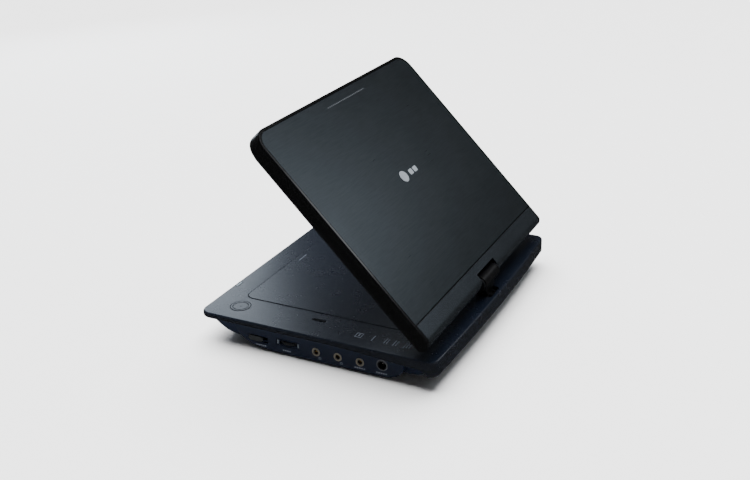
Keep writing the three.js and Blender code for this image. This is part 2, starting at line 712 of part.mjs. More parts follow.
// outline of the screen half seen square on, from v0 to v1
function screenOutline(halfX, v0, v1, corner, hingeCorner = 0.5) {
  const shape = new THREE.Shape();
  shape.moveTo(-halfX + corner, -v1);
  shape.lineTo(halfX - corner, -v1);
  shape.absarc(halfX - corner, -v1 + corner, corner, -Math.PI / 2, 0, false);
  shape.lineTo(halfX, -v0 - hingeCorner);
  shape.absarc(halfX - hingeCorner, -v0 - hingeCorner, hingeCorner, 0, Math.PI / 2, false);
  shape.lineTo(-halfX + hingeCorner, -v0);
  shape.absarc(-halfX + hingeCorner, -v0 - hingeCorner, hingeCorner, Math.PI / 2, Math.PI, false);
  shape.lineTo(-halfX, -v1 + corner);
  shape.absarc(-halfX + corner, -v1 + corner, corner, Math.PI, 1.5 * Math.PI, false);
  return shape;
}

const notch = box(-NOTCH_HALF_X, NOTCH_HALF_X, -NOTCH_V, 20, -20, 20);
const bandHalfX = SCREEN_HALF_W - LIP - 0.4;

function lidShell() {
  const plan = slab(screenOutline(SCREEN_HALF_W, SCREEN_TIP, SCREEN_END, SCREEN_CORNER, 1.5), -8, 8, 0, 8);
  const body = prismX(shellProfile(SHELL_W, SCREEN_END), -130, 130, 0, 6).intersect(plan);
  const cavity = slab(screenOutline(SCREEN_HALF_W - 2.1, 10.4, SCREEN_END - 2.4, SCREEN_CORNER - 2), -12, 3.9, 0, 6);
  const panelSeat = slab(
    screenOutline(SCREEN_HALF_W - LIP + GAP, PARTING_V, SCREEN_END - LIP + GAP, SCREEN_CORNER - LIP),
    SHELL_W - PANEL_T - GAP,
    SHELL_W + 2,
    0,
    8,
  );
  const nose = SHELL_W - BAND_T - GAP;
  const core = prismX(shellProfile(nose, SCREEN_END), -130, 130, 0, 6);
  const bandSeat = cut(
    box(-bandHalfX - GAP, bandHalfX + GAP, -PARTING_V - HIDDEN, 20, -2.2, 20),
    core,
  );
  const pinHole = rodX(0, 0, PIN_R + GAP, -PIN_HALF - 0.6, PIN_HALF + 0.6);
  const armSlots = ARM_XS.map((x) => box(x - 3, x + 3, -12, 0, -ARM_T - GAP, ARM_T + GAP));
  return cut(body, cavity, panelSeat, bandSeat, notch, pinHole, ...armSlots);
}

function hingeBand() {
  const outer = prismX(shellProfile(SHELL_W, SCREEN_END), -bandHalfX, bandHalfX, 0, 8);
  const inner = prismX(shellProfile(SHELL_W - BAND_T, SCREEN_END), -130, 130, 0, 8);
  const region = box(-130, 130, -PARTING_V + 0.5, 20, -1.9, 20);
  return cut(outer.intersect(region), inner, notch);
}

function panel() {
  const outline = screenOutline(SCREEN_HALF_W - LIP, PARTING_V + GAP, SCREEN_END - LIP, SCREEN_CORNER - LIP);
  return slab(outline, SHELL_W - PANEL_T, SHELL_W - 0.05, 0, 8);
}

const KEY_XS = [-38, -26, 26, 38];
const GRILLE_SLOTS = 9;
const GRILLE_PITCH = 4.6;
const GRILLE_HALF_H = 8;

// upright sound slots over one speaker
function grilleSlots(side) {
  const slots = [];
  for (let i = 0; i < GRILLE_SLOTS; i += 1) {
    const x = side * SPEAKER_X + (i - (GRILLE_SLOTS - 1) / 2) * GRILLE_PITCH;
    slots.push(box(x - 0.9, x + 0.9, -KEY_V - GRILLE_HALF_H, -KEY_V + GRILLE_HALF_H, BEZEL_W - 1, 0));
  }
  return slots;
}

function bezel() {
  const flange = slab(screenOutline(SCREEN_HALF_W - 2.5, 10.8, SCREEN_END - 2.8, SCREEN_CORNER - 2.5), -5.6, -4, 0, 6);
  const raised = slab(screenOutline(SCREEN_HALF_W - 5, 13.4, SCREEN_END - 5.4, SCREEN_CORNER - 4, 3), BEZEL_W, -4, 1, 5);
  const cavity = slab(
    screenOutline(SCREEN_HALF_W - 7, 15.4, SCREEN_END - 7.4, SCREEN_CORNER - 6),
    BEZEL_W + BEZEL_T,
    0,
    0,
    3,
  );
  const glassSeat = roundedRect(-GLASS_HALF_X - GAP, GLASS_HALF_X + GAP, -GLASS_V[1] - GAP, -GLASS_V[0] + GAP, 2.3);
  return cut(
    join(flange, raised),
    cavity,
    slab(glassSeat, BEZEL_W - 1, BEZEL_W + 1.1, 0, 3),
    box(-VIEW_HALF_X, VIEW_HALF_X, -VIEW_V[1], -VIEW_V[0], BEZEL_W - 1, 0),
    ...grilleSlots(-1),
    ...grilleSlots(1),
    post(0, -KEY_V, PAD_R + GAP, BEZEL_W - 1, 0, 32),
    ...KEY_XS.map((x) => post(x, -KEY_V, KEY_R + GAP, BEZEL_W - 1, 0, 24)),
  );
}

add('lid_shell', lidShell(), glossBlack, opened);
add('lid_panel', panel(), brushedBlue, opened);
add('hinge_band', hingeBand(), satinBand, opened);
add('screen_bezel', bezel(), deckPlastic, opened);
add('screen_glass', slab(
  roundedRect(-GLASS_HALF_X, GLASS_HALF_X, -GLASS_V[1], -GLASS_V[0], 2),
  BEZEL_W + 0.1,
  BEZEL_W + 0.8,
  0,
  3,
), glass, opened);
add('lcd_module', box(-97, 97, -160, -48, BEZEL_W + BEZEL_T + GAP, -2.6), greyPlastic, opened);
[-1, 1].forEach((side, i) => {
  const x = side * SPEAKER_X;
  add(`speaker_${i + 1}`, join(
    post(x, -KEY_V, 10.5, BEZEL_W + 2, -5.2, 28),
    post(x, -KEY_V, 6.5, -5.4, -1.5, 24),
  ), matteBlack, opened);
});
add('hinge_shaft', join(
  rodX(0, 0, PIN_R, -PIN_HALF, PIN_HALF),
  ...ARM_XS.map((x) => box(x - 2.6, x + 2.6, -30, 0, -ARM_T, ARM_T)),
), steel, opened);
add('driver_board', slab(roundedRect(-70, 70, -150, -62, 2), -2.1, -0.7, 0, 2), board, opened);
add('closing_bumper', slab(roundedRect(-12, 12, -173.6, -171, 1.2), BEZEL_W - 0.7, BEZEL_W - 0.25, 0, 3), rubber, opened);
add('nav_pad', cut(
  post(0, -KEY_V, PAD_R, BEZEL_W - KEY_PROUD, BEZEL_W + 3.4, 36),
  post(0, -KEY_V, 3.6, BEZEL_W - 2, BEZEL_W - KEY_PROUD + 0.5, 24),
), satinBand, opened);
KEY_XS.forEach((x, i) => {
  add(`key_${i + 1}`, post(x, -KEY_V, KEY_R, BEZEL_W - KEY_PROUD, BEZEL_W + 3.4, 24), satinBand, opened);
});
add('emblem', post(EMBLEM_X, -EMBLEM_V, 4.8, SHELL_W + 0.25, SHELL_W + 0.6, 36), steel, opened);

export default group;
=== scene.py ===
import json
import math

import bmesh
import bpy
import numpy as np
from mathutils import Matrix, Vector


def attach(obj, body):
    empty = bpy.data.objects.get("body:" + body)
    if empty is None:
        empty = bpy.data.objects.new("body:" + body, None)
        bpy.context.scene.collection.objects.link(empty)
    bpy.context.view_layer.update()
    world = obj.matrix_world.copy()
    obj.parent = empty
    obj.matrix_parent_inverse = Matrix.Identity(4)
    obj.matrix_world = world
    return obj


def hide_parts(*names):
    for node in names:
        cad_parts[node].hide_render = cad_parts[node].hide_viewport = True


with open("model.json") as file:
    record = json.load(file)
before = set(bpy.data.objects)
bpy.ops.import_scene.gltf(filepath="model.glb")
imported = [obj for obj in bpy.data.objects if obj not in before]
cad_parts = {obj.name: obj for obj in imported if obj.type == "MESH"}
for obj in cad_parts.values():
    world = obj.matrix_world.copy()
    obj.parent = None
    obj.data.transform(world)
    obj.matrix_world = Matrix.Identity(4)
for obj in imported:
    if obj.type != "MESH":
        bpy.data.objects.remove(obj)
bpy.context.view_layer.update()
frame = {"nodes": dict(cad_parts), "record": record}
NODES = frame["nodes"]
MM = 0.001

# ------------------------------------------------------------------ sizes in millimetres, as in the frame

DECK_Z = 24.0
UNDER_DECK_Z = 22.0
BASE_HALF, BASE_FRONT, BASE_REAR, BASE_BOW = 114.5, -97.2, 94.8, 4.8
RIM_INSIDE = (107.5, -94, 92.4, 6, 6, 0)  # as base_outline takes it
OPEN_X, OPEN_Y = 95.2, -72.3
STATUS_X, STATUS_Y = 91.3, -7
LED_X, LED_Y = 64.5, -94
TUB_FLOOR_Z, TUB_UNDER_Z = 20.5, 18.8
TUB_INSIDE = (-9.6, 9.6, 76.4, 94, 3)  # as rounded takes it
TUB_OUTSIDE = (-11.2, 11.2, 74.8, 95.2, 4.6)
TILT = math.radians(45.9)
PIVOT_Y, PIVOT_Z = 86.0, 35.4
SWIVEL_Y = 85.3
SCREEN_HALF, SCREEN_TIP, SCREEN_END, SHELL_W = 115.5, -3.2, 180.9, 5.8
NOSE_V = SCREEN_TIP + SHELL_W
PARTING_V, NOTCH_V, NOTCH_X = 13.8, 6.8, 16.2
BAND_HALF, BAND_CUT_HALF = 112.4, 112.9
LIP = 2.5
EMBLEM = (5.9, 97.2, 0)
PRINT_LOW, PRINT_HIGH = -0.05, 0.05
BOSS_X = 110.5
JACK_Z = 9.5
WHEEL_Y, WHEEL_Z = -22.9, 10.8
JACK_YS = (0.3, 17.9, 35.5)
DC_Y, DC_Z = 52.8, 11.2
LEGEND_Z = 4.6


# ------------------------------------------------------------------ materials

def node_material(name, base, rough, metallic=0.0, coat=0.0, coat_rough=0.1, spread=0.08, bump=0.05,
                  grain=(900.0, 900.0, 900.0), tint=0.12, specular=0.5, streaks=False):
    """A principled surface whose colour, roughness and height all vary a little."""
    mat = bpy.data.materials.new(name)
    mat.use_nodes = True
    tree = mat.node_tree
    shader = tree.nodes["Principled BSDF"]
    shader.inputs["Metallic"].default_value = metallic
    shader.inputs["Coat Weight"].default_value = coat
    shader.inputs["Coat Roughness"].default_value = coat_rough
    shader.inputs["Specular IOR Level"].default_value = specular
    place = tree.nodes.new("ShaderNodeTexCoord")
    fine_map = tree.nodes.new("ShaderNodeMapping")
    fine_map.inputs["Scale"].default_value = grain
    fine = tree.nodes.new("ShaderNodeTexNoise")
    fine.inputs["Scale"].default_value = 1.0
    fine.inputs["Detail"].default_value = 3.0
    broad = tree.nodes.new("ShaderNodeTexNoise")
    broad.inputs["Scale"].default_value = 38.0
    broad.inputs["Detail"].default_value = 4.0
    tree.links.new(place.outputs["Object"], fine_map.inputs["Vector"])
    tree.links.new(fine_map.outputs["Vector"], fine.inputs["Vector"])
    tree.links.new(place.outputs["Object"], broad.inputs["Vector"])
    colours = tree.nodes.new("ShaderNodeMix")
    colours.data_type = "RGBA"
    colours.inputs["A"].default_value = (*[c * (1 - tint) for c in base], 1)
    colours.inputs["B"].default_value = (*[min(c * (1 + tint), 1) for c in base], 1)
    shade = fine if streaks else broad
    tree.links.new(shade.outputs["Fac"], colours.inputs["Factor"])
    tree.links.new(colours.outputs["Result"], shader.inputs["Base Color"])
    both = tree.nodes.new("ShaderNodeMath")
    both.operation = "ADD"
    tree.links.new(fine.outputs["Fac"], both.inputs[0])
    tree.links.new(broad.outputs["Fac"], both.inputs[1])
    ramp = tree.nodes.new("ShaderNodeMapRange")
    ramp.inputs["From Max"].default_value = 2.0
    ramp.inputs["To Min"].default_value = max(rough - spread, 0.02)
    ramp.inputs["To Max"].default_value = min(rough + spread, 1.0)
    tree.links.new(both.outputs["Value"], ramp.inputs["Value"])
    tree.links.new(ramp.outputs["Result"], shader.inputs["Roughness"])
    if bump:
        relief = tree.nodes.new("ShaderNodeBump")
        relief.inputs["Strength"].default_value = bump
        relief.inputs["Distance"].default_value = 0.0002
        tree.links.new(fine.outputs["Fac"], relief.inputs["Height"])
        tree.links.new(relief.outputs["Normal"], shader.inputs["Normal"])
    return mat


SLOW = (140.0, 140.0, 140.0)


def moulding(name, base, rough, specular, spread=0.03, coat=0.0, coat_rough=0.1):
    """A plain plastic with a broad grain and no relief."""
    return node_material(
        name, base, rough,
        coat=coat, coat_rough=coat_rough, spread=spread, bump=0.0, grain=SLOW, specular=specular,
    )


DECK = moulding("deck_plastic", (0.0036, 0.0052, 0.0095), 0.27, 0.75, 0.02, coat_rough=0.3)
NAVY = moulding("navy_plastic", (0.0055, 0.0105, 0.0270), 0.40, 0.35)
GLOSS = moulding("gloss_black", (0.0010, 0.0010, 0.0012), 0.16, 0.4, 0.02, 0.3, 0.06)
MATTE = moulding("matte_black", (0.0016, 0.0016, 0.0018), 0.34, 0.4)
BRUSHED = node_material(
    "brushed_blue", (0.062, 0.073, 0.082), 0.31, 0.96,
    spread=0.10, bump=0.10, grain=(75.0, 1100.0, 1100.0), tint=0.20, streaks=True,
)
SATIN = node_material(
    "satin_band", (0.098, 0.115, 0.132), 0.25, 0.95, coat_rough=0.2, spread=0.02, bump=0.0, grain=SLOW
)
TRIM = moulding("ring_trim", (0.0040, 0.0056, 0.0098), 0.27, 0.75, 0.02)
STEEL = node_material("steel", (0.42, 0.40, 0.36), 0.30, 0.5, spread=0.1, grain=(300.0, 3000.0, 3000.0))
BRASS = node_material("warm_contact", (0.40, 0.26, 0.09), 0.28, 0.6, spread=0.1)
DARK_STEEL = node_material("dark_steel", (0.010, 0.011, 0.013), 0.32, 0.7)
RUBBER = node_material("rubber", (0.004, 0.004, 0.0045), 0.85, bump=0.3)
GLASS = node_material(
    "window_glass", (0.003, 0.0035, 0.005), 0.08, coat=0.6, coat_rough=0.03, spread=0.02, bump=0.0
)
BOARD = node_material("circuit_board", (0.012, 0.07, 0.03), 0.5, coat=0.4, coat_rough=0.2)
WINDOW = moulding("window_black", (0.0009, 0.0009, 0.0011), 0.5, 0.08)
GREY = node_material("grey_plastic", (0.06, 0.065, 0.075), 0.5)
CELLS = node_material("cell_wrap", (0.02, 0.04, 0.09), 0.35)
KNOB = node_material("knob_plastic", (0.018, 0.021, 0.023), 0.36)
WHEEL = node_material("wheel_rubber", (0.0075, 0.0085, 0.0105), 0.36)
COLLAR = node_material("warm_ring", (0.17, 0.155, 0.125), 0.36, 0.35, spread=0.05)
PALE = node_material("white_plastic", (0.10, 0.12, 0.14), 0.4)
SILVER = node_material("silver_print", (0.30, 0.33, 0.36), 0.36, 0.5, spread=0.05)
PRINT = node_material("print_grey", (0.15, 0.17, 0.21), 0.5)
PRINT_DIM = node_material("print_dim", (0.085, 0.10, 0.125), 0.5)
PRINT_LID = node_material("print_lid", (0.085, 0.093, 0.105), 0.45, 0.3)

SLOT_LOOKS = {
    "deck_plastic": DECK,
    "navy_plastic": NAVY,
    "gloss_black": GLOSS,
    "matte_black": MATTE,
    "brushed_blue": BRUSHED,
    "satin_band": SATIN,
    "steel": STEEL,
    "dark_steel": DARK_STEEL,
    "rubber": RUBBER,
    "window_glass": GLASS,
    "circuit_board": BOARD,
    "grey_plastic": GREY,
    "cell_wrap": CELLS,
    "white_plastic": PALE,
}
OWN_LOOKS = {"status_window": WINDOW, "power_switch": KNOB, "volume_wheel": WHEEL, "nav_pad": TRIM}
OWN_LOOKS.update({f"key_{i}": TRIM for i in range(1, 5)})
OWN_LOOKS.update({f"knuckle_screw_{i}": DARK_STEEL for i in (1, 2)})
SLOT_OF = {s["node"]: s["material_slot"] for s in frame["record"]["subparts"]}


# ------------------------------------------------------------------ shapes

def opened(p):
    """A point drawn with the screen closed about the pivot, as (x, v, w), carried to its open place."""
    x, v, w = p
    c, s = math.cos(TILT), math.sin(TILT)
    return (x, PIVOT_Y - v * c + w * s, PIVOT_Z + v * s + w * c)


def straight(p):
    return p


def raw(name, verts, faces, pose=straight):
    """A mesh object from millimetre points, joined and facing outward."""
    mesh = bpy.data.meshes.new(name)
    mesh.from_pydata([[c * MM for c in pose(p)] for p in verts], [], faces)
    bm = bmesh.new()
    bm.from_mesh(mesh)
    bmesh.ops.remove_doubles(bm, verts=bm.verts, dist=1e-7)
    bmesh.ops.recalc_face_normals(bm, faces=bm.faces)
    bm.to_mesh(mesh)
    bm.free()
    piece = bpy.data.objects.new(name, mesh)
    bpy.context.scene.collection.objects.link(piece)
    return piece


def even_shading(piece):
    even = piece.modifiers.new("even_shading", "WEIGHTED_NORMAL")
    even.weight = 80
    return even


def dress(piece, mat, body, angle=35.0, bevel=0.0, replaces=()):
    """Gives a piece its look, its body and the CAD nodes it stands for."""
    piece.data.materials.clear()
    piece.data.materials.append(mat)
    smooth_by_angle(piece, angle)
    if bevel:
        add_bevel(piece, bevel)
    even_shading(piece).keep_sharp = True
    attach(piece, body)
    if replaces:
        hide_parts(*replaces)


def make(name, verts, faces, mat, body, pose=straight, angle=35.0, replaces=(), slot=None):
    """A visible piece from millimetre points, smooth but for edges sharper than angle."""
    dress(raw(name, verts, faces, pose), mat, body, angle, replaces=replaces)


def smooth_by_angle(piece, angle):
    bm = bmesh.new()
    bm.from_mesh(piece.data)
    limit = math.radians(angle)
    for face in bm.faces:
        face.smooth = True
    for edge in bm.edges:
        if len(edge.link_faces) == 2:
            edge.smooth = edge.calc_face_angle(0.0) < limit
    bm.to_mesh(piece.data)
    bm.free()


def add_bevel(piece, width, segments=3, angle=32.0):
    edge = piece.modifiers.new("soft_edges", "BEVEL")
    edge.width = width * MM
    edge.segments = segments
    edge.limit_method = "ANGLE"
    edge.angle_limit = math.radians(angle)
    edge.use_clamp_overlap = True
    edge.harden_normals = True


def stack(loops, cap_low=True, cap_high=True):
    """Verts and faces of a skin through loops of points."""
    count = len(loops[0])
    verts = [p for loop in loops for p in loop]
    faces = []
    for level in range(len(loops) - 1):
        for i in range(count):
            a = level * count + i
            b = level * count + (i + 1) % count
            faces.append((a, b, b + count, a + count))
    if cap_low:
        faces.append(tuple(range(count))[::-1])
    if cap_high:
        top = (len(loops) - 1) * count
        faces.append(tuple(range(top, top + count)))
    return verts, faces


def merge(*parts):
    verts, faces = [], []
    for v, f in parts:
        base = len(verts)
        verts += v
        faces += [tuple(i + base for i in face) for face in f]
    return verts, faces


def arc(cx, cy, r, a0, a1, n):
    return [
        (cx + r * math.cos(a0 + (a1 - a0) * i / n), cy + r * math.sin(a0 + (a1 - a0) * i / n))
        for i in range(n + 1)
    ]


def rounded(x0, x1, y0, y1, r, n=8):
    """A flat rectangle with rounded corners, anticlockwise from the lower right corner."""
    q = math.pi / 2
    return (
        arc(x1 - r, y0 + r, r, -q, 0, n)
        + arc(x1 - r, y1 - r, r, 0, q, n)
        + arc(x0 + r, y1 - r, r, q, 2 * q, n)
        + arc(x0 + r, y0 + r, r, 2 * q, 3 * q, n)
    )


def around(x, y, half_x, half_y, r, grow=0.0, n=8):
    """A rounded rectangle about a centre."""
    return rounded(x - half_x - grow, x + half_x + grow, y - half_y - grow, y + half_y + grow, r + grow, n)


def flat_pad(outline, z0, z1, soft, steps=4):
    """A plate with its outline given as a function of the inset, and softened top and bottom edges."""
    loops = []
    for i in range(steps + 1):
        a = math.pi / 2 * (1 - i / steps)
        loops.append((soft * (1 - math.cos(a)), z0 + soft * (1 - math.sin(a))))
    for i in range(steps + 1):
        a = math.pi / 2 * i / steps
        loops.append((soft * (1 - math.cos(a)), z1 - soft * (1 - math.sin(a))))
    return stack([[(x, y, z) for x, y in outline(inset)] for inset, z in loops])


def turned(profile, centre, axis="Z", segments=48):
    """A lathe body: profile is (radius, height) pairs, starting and ending on or near the axis."""
    cx, cy, cz = centre
    loops = []
    for r, h in profile:
        ring = []
        for i in range(segments):
            a = 2 * math.pi * i / segments
            u, v = r * math.cos(a), r * math.sin(a)
            ring.append((cx + u, cy + v, cz + h) if axis == "Z" else (cx + h, cy + u, cz + v))
        loops.append(ring)
    return stack(loops)


def tube(profile, centre, axis="X", segments=48):
    """A closed ring: the profile is a closed loop of (radius, height) pairs."""
    verts, faces = turned(profile + profile[:1], centre, axis, segments)
    count = len(faces) - 2
    return verts, faces[:count]


def prism_x(profile, x0, x1):
    """A bar along x from a closed (v, w) or (y, z) profile."""
    return stack([[(x0, a, b) for a, b in profile], [(x1, a, b) for a, b in profile]])


def carve(piece, cutters):
    """Cuts the cutters out of the piece for good, and removes them."""
    for cutter in cutters:
        step = piece.modifiers.new("cut", "BOOLEAN")
        step.operation = "DIFFERENCE"
        step.solver = "EXACT"
        step.object = cutter
    graph = bpy.context.evaluated_depsgraph_get()
    done = bpy.data.meshes.new_from_object(piece.evaluated_get(graph))
    piece.modifiers.clear()
    piece.data = done
    for cutter in cutters:
        bpy.data.objects.remove(cutter)


# ------------------------------------------------------------------ base: top case

def bezier(p0, p1, p2, p3, n=24):
    """Points along a cubic curve."""
    out = []
    for i in range(n + 1):
        t = i / n
        k = ((1 - t) ** 3, 3 * t * (1 - t) ** 2, 3 * t * t * (1 - t), t ** 3)
        out.append(tuple(sum(c * p[j] for c, p in zip(k, (p0, p1, p2, p3))) for j in (0, 1)))
    return out


RIM_LINE = (
    bezier((0, 19.8), (40, 19.8), (60, 16.9), (83, 16.3))
    + bezier((83, 16.3), (86, 15.9), (86, 12.1), (89, 12.1))
)


def rim_low(y):
    """Height of the rim's lower edge, which sweeps down toward the rear."""
    return float(np.interp(y, [p[0] for p in RIM_LINE], [p[1] for p in RIM_LINE]))


def base_outline(half, front, rear, rf, rr, bow):
    """Plan of the base, with front and rear corner radii and a rear edge that bows out."""
    q = math.pi / 2
    side = [i / 40 for i in range(1, 40)]
    right = [(half, front + rf + t * (rear - rr - front - rf)) for t in side]
    back = []
    for i in range(1, 32):
        t = i / 32
        x = (1 - 2 * t) * (half - rr)
        back.append((x, rear + bow * 2 * t * (1 - t)))
    left = [(-half, y) for _, y in right[::-1]]
    return (
        arc(half - rf, front + rf, rf, -q, 0, 10)
        + right
        + arc(half - rr, rear - rr, rr, 0, q, 10)
        + back
        + arc(-half + rr, rear - rr, rr, q, 2 * q, 10)
        + left
        + arc(-half + rf, front + rf, rf, 2 * q, 3 * q, 10)
    )


def case_outline(inset):
    return base_outline(
        BASE_HALF - inset, BASE_FRONT + inset, BASE_REAR - inset, 9 - inset, 7 - inset, BASE_BOW
    )


def disc_opening(grow, n=8):
    half, front, rear, r = 81.6 + grow, -77.9 - grow, 62.4 + grow, 7.4 + grow
    q = math.pi / 2
    return (
        arc(half - r, front + r, r, -q, 0, n)
        + [(half, rear), (-half, rear)]
        + arc(-half + r, front + r, r, 2 * q, 3 * q, n)
    )


def ring_points(cx, cy, r, n=40):
    turns = [2 * math.pi * i / n for i in range(n)]
    return [(cx + r * math.cos(a), cy + r * math.sin(a)) for a in turns]


def tub_opening(grow):
    left, right, front, rear, r = TUB_INSIDE
    return rounded(left - grow, right + grow, front - grow, rear + grow, r + grow)


HOLES = [
    disc_opening,
    tub_opening,
    lambda grow: ring_points(OPEN_X, OPEN_Y, 7.9 + grow),
    lambda grow: around(STATUS_X, STATUS_Y, 1.4, 5.7, 1.35, grow),
    lambda grow: around(LED_X, LED_Y, 3.9, 1.3, 1.2, grow),
]


def top_case():
    """The thin-rimmed top shell: rounded rim, swept lower edge, and a deck with its openings."""
    loops = []
    inner = base_outline(*RIM_INSIDE)
    loops.append([(x, y, UNDER_DECK_Z) for x, y in inner])
    loops.append([(x, y, rim_low(y)) for x, y in inner])
    for inset, rise in ((1.2, 0.0), (0.5, 0.12), (0.12, 0.5), (0.0, 1.1)):
        loops.append([(x, y, rim_low(y) + rise) for x, y in case_outline(inset)])
    soft = 1.5
    for i in range(9):
        a = math.pi / 2 * i / 8
        z = DECK_Z - soft + soft * math.sin(a)
        loops.append([(x, y, z) for x, y in case_outline(soft * (1 - math.cos(a)))])
    verts, faces = stack(loops, False, False)
    bm = bmesh.new()
    made = [bm.verts.new([c * MM for c in p]) for p in verts]
    for face in faces:
        bm.faces.new([made[i] for i in face])
    count = len(loops[0])
    low_rim, high_rim = made[:count], made[-count:]
    high_edges, low_edges = loop_edges(bm, high_rim), loop_edges(bm, low_rim)
    for hole in HOLES:
        steps = [(0.35, DECK_Z), (0.1, DECK_Z - 0.1), (0.0, DECK_Z - 0.35), (0.0, UNDER_DECK_Z)]
        rings = [[bm.verts.new((x * MM, y * MM, z * MM)) for x, y in hole(grow)] for grow, z in steps]
        for upper, lower in zip(rings, rings[1:]):
            n = len(upper)
            for i in range(n):
                bm.faces.new((upper[i], upper[(i + 1) % n], lower[(i + 1) % n], lower[i]))
        high_edges += loop_edges(bm, rings[0])
        low_edges += loop_edges(bm, rings[-1])
    bmesh.ops.triangle_fill(bm, edges=high_edges, use_beauty=True)
    bmesh.ops.triangle_fill(bm, edges=low_edges, use_beauty=True)
    bmesh.ops.recalc_face_normals(bm, faces=bm.faces)
    mesh = bpy.data.meshes.new("top_shell")
    bm.to_mesh(mesh)
    bm.free()
    piece = bpy.data.objects.new("top_shell", mesh)
    bpy.context.scene.collection.objects.link(piece)
    dress(piece, DECK, "base", 40, replaces=("base_top_case",))
    hinge_tub()


def hinge_tub():
    """The pocket in the deck that the hinge stands in."""
    def level(outline, z):
        return [(x, y, z) for x, y in outline]

    outside, inside = rounded(*TUB_OUTSIDE), rounded(*TUB_INSIDE)
    wall = stack([level(outside, UNDER_DECK_Z), level(outside, TUB_UNDER_Z)], False, False)
    floor = stack([level(inside, UNDER_DECK_Z), level(inside, TUB_FLOOR_Z)], False, True)
    brim = stack([level(outside, UNDER_DECK_Z), level(inside, UNDER_DECK_Z)], False, False)
    under = (level(outside, TUB_UNDER_Z), [tuple(range(len(outside)))])
    make("hinge_pocket", *merge(wall, floor, brim, under), MATTE, "base", slot="deck_plastic")


def loop_edges(bm, ring):
    """The closed run of edges through a ring of vertices."""
    edges = []
    for a, b in zip(ring, ring[1:] + ring[:1]):
        edges.append(bm.edges.get((a, b)) or bm.edges.new((a, b)))
    return edges


top_case()


# ------------------------------------------------------------------ screen half

def screen_outline(half, v0, v1, corner, n=12):
    """Plan of the screen half, with rounded corners at the free edge."""
    q = math.pi / 2
    return (
        arc(half - corner, v1 - corner, corner, 0, q, n)
        + arc(-half + corner, v1 - corner, corner, q, 2 * q, n)
        + [(-half, v0), (half, v0)]
    )


def nose_profile(radius, low_w, top_v, steps):
    """Line from the top edge round the hinge nose to low_w, as (v, w)."""
    start = math.pi / 2
    end = math.pi - math.asin(low_w / radius)
    turns = [start + (end - start) * i / steps for i in range(steps + 1)]
    return [(top_v, radius)] + [(NOSE_V + radius * math.cos(a), radius * math.sin(a)) for a in turns]


def notch_cutter():
    reach = 15
    profile = [(-reach, -reach), (NOTCH_V, -reach), (NOTCH_V, reach), (-reach, reach)]
    return raw("notch_cut", *prism_x(profile, -NOTCH_X, NOTCH_X), opened)


def outline_cutter(name, half, v0, v1, corner, w0, w1):
    outline = screen_outline(half, v0, v1, corner)
    return raw(name, *stack([[(x, v, w) for x, v in outline] for w in (w0, w1)]), opened)


def lid_shell():
    """The gloss shell, with the panel's seat, the band, the notch and the inside cut out of it."""
    loops = []
    top_soft, low_soft = 0.7, 1.4
    heights = [-SHELL_W * math.cos(math.pi * i / 36) for i in range(37)]
    for w in heights:
        over = max(0.0, w - (SHELL_W - top_soft)) / top_soft
        under = max(0.0, -w - (SHELL_W - low_soft)) / low_soft
        top_inset = top_soft * (1 - math.sqrt(1 - min(over, 1) ** 2))
        low_inset = low_soft * (1 - math.sqrt(1 - min(under, 1) ** 2))
        inset = top_inset + low_inset
        tip = NOSE_V - math.sqrt(max(SHELL_W ** 2 - w * w, 0.0))
        plan = screen_outline(SCREEN_HALF - inset, tip, SCREEN_END - inset, 13 - inset)
        loops.append([(x, v, w) for x, v in plan])
    body = raw("screen_shell", *stack(loops), opened)
    seat = outline_cutter(
        "seat_cut", SCREEN_HALF - LIP + 0.3, PARTING_V, SCREEN_END - LIP + 0.3, 10.8, SHELL_W - 1.1, SHELL_W + 3
    )
    core = nose_profile(SHELL_W - 1.3, -2.2, PARTING_V, 24)
    ring = core + [(-12.0, core[-1][1]), (-12.0, 12.0), (PARTING_V, 12.0)]
    band_cut = raw("band_cut", *prism_x(ring, -BAND_CUT_HALF, BAND_CUT_HALF), opened)
    notch = notch_cutter()
    cavity = outline_cutter("cavity_cut", SCREEN_HALF - 2.1, 10.4, SCREEN_END - 2.4, 11, -12, 3.9)
    carve(body, [seat, band_cut, notch, cavity])
    dress(body, GLOSS, "screen", 30, replaces=("lid_shell",))


def lid_panel():
    def outline(inset):
        half, r = SCREEN_HALF - LIP, 10.5
        return screen_outline(half - inset, PARTING_V + 0.35 + inset, SCREEN_END - LIP - inset, r - inset)

    verts, faces = flat_pad(outline, SHELL_W - 0.85, SHELL_W - 0.05, 0.28)
    make("outer_panel", verts, faces, BRUSHED, "screen", opened, 30, ("lid_panel",), "brushed_blue")


def hinge_band():
    outer = nose_profile(SHELL_W, -1.9, PARTING_V - 0.4, 32)
    inner = nose_profile(SHELL_W - 1.0, -1.9, PARTING_V - 0.4, 32)
    band = raw("rear_band", *prism_x(outer + inner[::-1], -BAND_HALF, BAND_HALF), opened)
    carve(band, [notch_cutter()])
    dress(band, SATIN, "screen", 30, 0.22, replaces=("hinge_band",))


lid_shell()
lid_panel()
hinge_band()


# ------------------------------------------------------------------ hinge

BORE_R = 1.6


